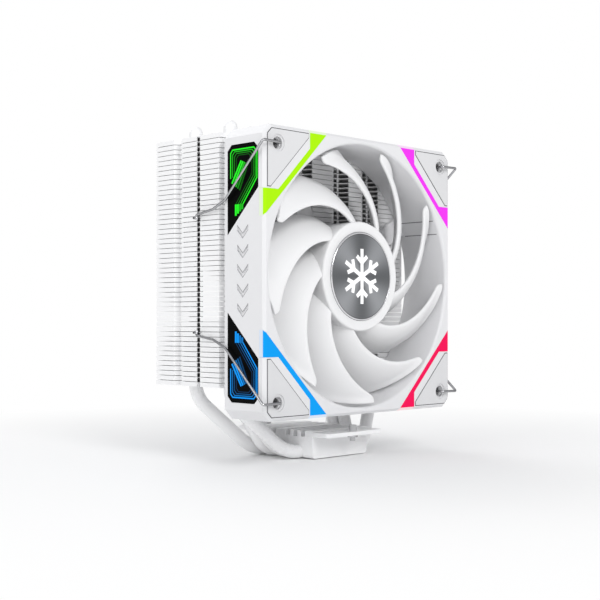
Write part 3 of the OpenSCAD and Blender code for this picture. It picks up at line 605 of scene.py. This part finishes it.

# %% [markdown]
# ### Spring wires
# Each wire is one bar: a leg in the slot of the fins, an arm up and an arm down that reach
# forward, and a hook in each corner hole of the fan. A curve with a bevel could do it too, but
# the bar function rounds the corners and closes the ends at once. Layer Weight paints the steel
# light where it is seen face on and dark towards its outline: a painted reflection, as polished
# wire shows in a bright room.

# %% Two spring wires
LEG_X, LEG_Y, LEG_Z = 57.15, 7.5, 24.0
HOOK_Y = FACE_Y - 2
upper = np.array([
    (LEG_X, LEG_Y, LEG_Z), (60.9, LEG_Y, LEG_Z + 0.2), (61.1, LEG_Y + 2.8, LEG_Z + 0.8),
    (61.1, LEG_Y - 12, LEG_Z + 3.2), (61.4, -12.5, LEG_Z + 6.5), (62.5, HOOK_Y, HOLE_AT + 0.2),
    (HOLE_AT, HOOK_Y, HOLE_AT), (HOLE_AT, FACE_Y + 6, HOLE_AT),
])
lower = upper[::-1] * [1, 1, -1]
# Painted reflection: the steel's base colour goes from light face on to near black at the outline.
look = wire_steel_painted_reflection.node_tree.nodes
shader = look["Principled BSDF"]
edge = look.new("ShaderNodeLayerWeight")
edge.inputs["Blend"].default_value = 0.6
shade = look.new("ShaderNodeMix")
shade.data_type = "RGBA"
shade.inputs["A"].default_value = (0.62, 0.62, 0.64, 1)
shade.inputs["B"].default_value = (0.03, 0.03, 0.032, 1)
wire_steel_painted_reflection.node_tree.links.new(edge.outputs["Facing"], shade.inputs["Factor"])
wire_steel_painted_reflection.node_tree.links.new(shade.outputs["Result"], shader.inputs["Base Color"])
for label, side in [("left", -1), ("right", 1)]:
    corners = np.vstack([lower, upper]) * [side, 1, 1] + [0, 0, AXIS_Z]
    clip = add_object("Spring wire " + label, [bar(rounded_path(corners, 0.9, 8), WIRE_R, 20)],
                      "heatsink")
    paint(clip, wire_steel_painted_reflection)
    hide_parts("wire_clip_" + label)

# %% [markdown]
# ## Lines on the frame
# Thin flat ribbons lie on the surfaces, a few hundredths of a millimetre proud. Dark ones are
# painted shadow in the gaps round the corner pads. Bright ones stand for the lit outlines that
# show through the smoked windows. An infinity mirror repeats an outline again and again, smaller
# and dimmer, and the dimmer copies are painted reflections.

# %% Painted shadow in the gaps round the pads
PAD_FAR, PAD_NEAR, PAD_CUT = 58.1, 34.9, 2.2
SLANT = (BORE_R + 7.5) * np.sqrt(2)
pad = np.array([
    (PAD_NEAR, PAD_FAR), (PAD_FAR - PAD_CUT, PAD_FAR), (PAD_FAR, PAD_FAR - PAD_CUT),
    (PAD_FAR, PAD_NEAR), (SLANT - PAD_NEAR, PAD_NEAR), (PAD_NEAR, SLANT - PAD_NEAR),
])
# Each pad gets a dark ribbon of painted shadow round its outline.
gaps = []
for k in range(4):
    c, s = np.round([np.cos(k * np.pi / 2), np.sin(k * np.pi / 2)])
    turned = pad @ np.array([[c, s], [-s, c]])
    gaps.append(ribbon(turned, -0.36, 0.38, lambda p: np.stack(
        [p[..., 0], np.full(p.shape[:2], FACE_Y - 0.03), AXIS_Z + p[..., 1]], axis=-1)))
pad_painted_shadow = add_object("Pad shadow lines", gaps, "heatsink", smooth=False)
paint(pad_painted_shadow, painted_shadow_line)

# %% Painted shade: dark sleeves in the four screw holes
# Each dark grey sleeve is painted shade inside a hole.
hole_shade_parts = []
hole_shade_profile = [(HOLE_R - 0.05, 2.2), (HOLE_R - 0.05, 24.0), (HOLE_R - 0.12, 24.0),
                 (HOLE_R - 0.12, 2.2)]
for z_side in (-1, 1):
    for x_side in (-1, 1):
        points, faces = lathe(hole_shade_profile, 40)
        hole_shade_parts.append((points + [x_side * HOLE_AT, 0, z_side * HOLE_AT], faces))
hole_shade = add_object("Screw hole painted shade", hole_shade_parts, "heatsink")
paint(hole_shade, finish("Shaded hole", (0.20, 0.20, 0.205), (0.12, 0.12, 0.125), 0.8))

# %% [markdown]
# ### Lit outlines
# Behind each smoked window a lit line repeats between two mirrors. Tracing such reflections
# would be slow, so each one is drawn as its own ribbon: moved inwards, thinner and dimmer.

# %% Lit outlines behind the side windows
LINES = {}
LINE_COLOURS = {"green": (0.02, 1.0, 0.02), "magenta": MAGENTA, "blue": (0.0, 0.33, 1.0), "red": RED}
BRIGHTNESS = [1.0, 0.55, 0.28, 0.12]
for label, colour in LINE_COLOURS.items():
    LINES[label] = [
        lit("Window line " + label + " depth " + str(k), tuple(share * c for c in colour),
            tuple(0.5 * share * c for c in colour), 1.0)
        for k, share in enumerate(BRIGHTNESS)
    ]


def window_lines(k):
    """The path of one reflection, as (depth behind the face, height): k = 0 is the brightest.

    Each reflection is the first one moved inwards, so the straight parts stay parallel.
    """
    left, right, top = 20.1 - 1.2 * k, 4.2 + 1.0 * k, 50.7 - 0.8 * k
    return [
        (left, 39.0 + 0.5 * k), (left, top - 1.3), (left - 1.2, top), (right + 1.9, top),
        (right, top - 1.9), (right, 38.4 + 0.6 * k), (12.6 + 1.5 * k, 28.2),
    ]


def lower_tick(k):
    """A short upright bar under the outline, one for each reflection."""
    return [(13.0 + 1.3 * k, 28.3), (13.0 + 1.3 * k, 26.1 - 0.8 * k)]


def slanting_bar(k):
    """One of the parallel bars in the middle of a window."""
    return [(13.6 - 1.0 * k, 46.0 - 0.4 * k), (19.3 - 1.15 * k, 37.0 - 0.75 * k)]


for side, tops in [(-1, (("green", 1), ("blue", -1))), (1, (("magenta", 1), ("red", -1)))]:
    for label, up in tops:
        levels = [[] for _ in BRIGHTNESS]
        for k, width in enumerate([0.55, 0.42, 0.36, 0.30]):
            levels[k].append((window_lines(k), width))
            levels[0 if k > 1 else 1].append((lower_tick(k), 1.12))
        for k, level in enumerate([0, 0, 1, 2, 3]):
            levels[level].append((slanting_bar(k), 0.85))
        for level, shapes in enumerate(levels):
            def on_side(p, side=side, up=up, level=level):
                """Places (depth, height) pairs on the frame's side, brighter levels proudest."""
                x = np.full(p.shape[:2], side * (SIDE + 0.06 - 0.01 * level))
                return np.stack([x, FACE_Y + p[..., 0], AXIS_Z + up * p[..., 1]], axis=-1)
            glow = add_object("Lit lines %s %s %d" % (label, "left" if side < 0 else "right", level),
                              [stroke(path, width, on_side) for path, width in shapes], "heatsink",
                              smooth=False)
            paint(glow, LINES[label][level])

# %% [markdown]
# ### Engraved chevrons
# The CAD frame already holds the grooves. Shallow white grooves vanish in soft light, so a
# thin grey ribbon of painted shade marks the lower and the upper edge of each one.

# %% Painted shade on the edges of the engraved chevrons
CHEVRON_MID, CHEVRON_REACH, CHEVRON_STEP, CHEVRON_STROKE = 12.8, 3.3, 8, 2.0
edges = []
for side in (-1, 1):
    for k in range(5):
        for grow, width in [(0.0, 0.22), (CHEVRON_STROKE, 0.3)]:
            def on_cheek(p, side=side):
                """Places (depth, height) pairs on the frame's side."""
                x = np.full(p.shape[:2], side * (SIDE + 0.04))
                return np.stack([x, FACE_Y + p[..., 0], AXIS_Z + p[..., 1]], axis=-1)
            h = CHEVRON_STEP * (k - 2) - 1.7 + grow
            wings = [(CHEVRON_MID - CHEVRON_REACH, h + 3.4), (CHEVRON_MID, h),
                     (CHEVRON_MID + CHEVRON_REACH, h + 3.4)]
            edges.append(stroke(wings, width, on_cheek))
# The grey ribbons are painted shade.
chevron_painted_shade = add_object("Chevron painted shade", edges, "heatsink", smooth=False)
paint(chevron_painted_shade, finish("Painted groove shade", (0.36, 0.36, 0.365), (0.28, 0.28, 0.285), 0.8))

# %% [markdown]
# ### Rim, and painted shade in the gap and the bore
# The badge has a bright turned rim with a hairline gap inside it, and the bore shows the two
# edges of the channel that holds the fan's leads. The rim is a profile turned on the lathe
# function, and the lines are ribbons of painted shade: one in the gap, two along the channel.

# %% Rim of the badge, and painted shade in its gap and along the channel in the bore
rim_profile = [(18.65, HUB_FRONT - 0.32), (18.8, HUB_FRONT - 0.42), (19.15, HUB_FRONT - 0.36),
               (19.32, HUB_FRONT - 0.05), (19.32, HUB_FRONT + 0.4), (18.65, HUB_FRONT + 0.4)]
rim = add_object("Badge rim", [lathe(rim_profile)], "rotor")
bright_metal = finish("Bright rim", (0.86, 0.86, 0.87), (0.70, 0.70, 0.72), 0.14, 1.0, 900, 0.04)
paint(rim, bright_metal)
gap_profile = [(18.42, HUB_FRONT - 0.31), (18.67, HUB_FRONT - 0.31), (18.67, HUB_FRONT - 0.2),
               (18.42, HUB_FRONT - 0.2)]
# Painted shade in the hairline gap inside the rim.
badge_gap_shade = add_object("Badge shadow line", [lathe(gap_profile)], "rotor", smooth=False)
paint(badge_gap_shade, painted_shadow_line)


def on_bore(p):
    """Places (depth, height) pairs on the right side of the bore."""
    x = np.sqrt((BORE_R - 0.05)**2 - p[..., 1]**2)
    return np.stack([x, FACE_Y + p[..., 0], AXIS_Z + p[..., 1]], axis=-1)


# Painted shade along the two edges of the channel.
channel_edge_shade = add_object(
    "Cable channel edge shade",
    [stroke([(2.2, height), (21.5, height)], 0.3, on_bore) for height in (27.2, 21.2)],
    "heatsink", smooth=False,
)
paint(channel_edge_shade, painted_shadow_line)

# %% [markdown]
# ## Studio
# The floor is pale near the cooler, so that it takes a soft shadow, and turns into plain light
# further away, like a paper sweep. The surroundings light the object from all sides.

# %% Floor and surroundings
floor_mesh = bpy.data.meshes.new("Floor")
floor_mesh.from_pydata([(-3, -3, 0), (3, -3, 0), (3, 3, 0), (-3, 3, 0)], [], [(0, 1, 2, 3)])
floor = bpy.data.objects.new("Floor", floor_mesh)
bpy.context.scene.collection.objects.link(floor)
floor.location = (0, 0, -0.0004)
floor_mat = bpy.data.materials.new("Pale paper sweep")
floor_mat.use_nodes = True
n, l = floor_mat.node_tree.nodes, floor_mat.node_tree.links
shader = n["Principled BSDF"]
shader.inputs["Base Color"].default_value = (0.92, 0.92, 0.92, 1)
shader.inputs["Roughness"].default_value = 0.9
shader.inputs["Specular IOR Level"].default_value = 0.1
place = n.new("ShaderNodeTexCoord")
away = n.new("ShaderNodeVectorMath")
away.operation = "LENGTH"
fade = n.new("ShaderNodeMapRange")
fade.inputs["From Min"].default_value = 0.06
fade.inputs["From Max"].default_value = 0.30
light = n.new("ShaderNodeEmission")
light.inputs["Color"].default_value = (1, 1, 1, 1)
swap = n.new("ShaderNodeMixShader")
l.new(place.outputs["Object"], away.inputs[0])
l.new(away.outputs["Value"], fade.inputs["Value"])
l.new(fade.outputs[0], swap.inputs["Fac"])
l.new(shader.outputs[0], swap.inputs[1])
l.new(light.outputs[0], swap.inputs[2])
l.new(swap.outputs[0], n["Material Output"].inputs["Surface"])
floor.data.materials.append(floor_mat)

world = bpy.data.worlds.new("Studio")
bpy.context.scene.world = world
world.use_nodes = True
n, l = world.node_tree.nodes, world.node_tree.links
seen = n["Background"]
seen.inputs["Color"].default_value = (1, 1, 1, 1)
seen.inputs["Strength"].default_value = 1.0
ambient = n.new("ShaderNodeBackground")
ambient.inputs["Color"].default_value = (0.97, 0.98, 1.0, 1)
ambient.inputs["Strength"].default_value = 0.62
ray = n.new("ShaderNodeLightPath")
pick = n.new("ShaderNodeMixShader")
l.new(ray.outputs["Is Camera Ray"], pick.inputs["Fac"])
l.new(ambient.outputs[0], pick.inputs[1])
l.new(seen.outputs[0], pick.inputs[2])
l.new(pick.outputs[0], n["World Output"].inputs["Surface"])
print("floor and surroundings are set")

# %% [markdown]
# ### Lamps and camera
# Large square lamps give soft shadows: a key in front and above, a fill on the left, and one
# behind that lifts the top edges. The camera stands level, so upright edges stay upright, and
# a small shift moves the picture instead of a tilt.

# %% Lamps and camera
from mathutils import Vector


def lamp(name, at, to, size, watts):
    """A square lamp at one point that shines towards another."""
    data = bpy.data.lights.new(name, "AREA")
    data.size = size
    data.energy = watts
    obj = bpy.data.objects.new(name, data)
    bpy.context.scene.collection.objects.link(obj)
    obj.location = at
    obj.rotation_euler = (Vector(to) - Vector(at)).to_track_quat("-Z", "Y").to_euler()


lamp("Key", (-0.25, -0.85, 0.60), (0, 0, 0.08), 0.40, 3.9)
lamp("Left fill", (-0.95, 0.05, 0.35), (0, 0, 0.08), 0.5, 1.9)
lamp("Back", (0.2, 0.8, 0.7), (0, 0, 0.1), 0.7, 3.0)
camera_data = bpy.data.cameras.new("Camera")
camera_data.lens = 68.2
camera_data.sensor_width = 36.0
camera_data.shift_y = 0.0297
camera = bpy.data.objects.new("Camera", camera_data)
bpy.context.scene.collection.objects.link(camera)
camera.location = (-0.3700, -0.3656, 0.0614)
camera.rotation_euler = (np.radians(90), 0, np.radians(-44.92))
bpy.context.scene.camera = camera
bpy.context.scene.view_settings.view_transform = "Standard"
bpy.context.scene.view_settings.look = "None"
print("camera", tuple(round(v, 4) for v in camera.location))
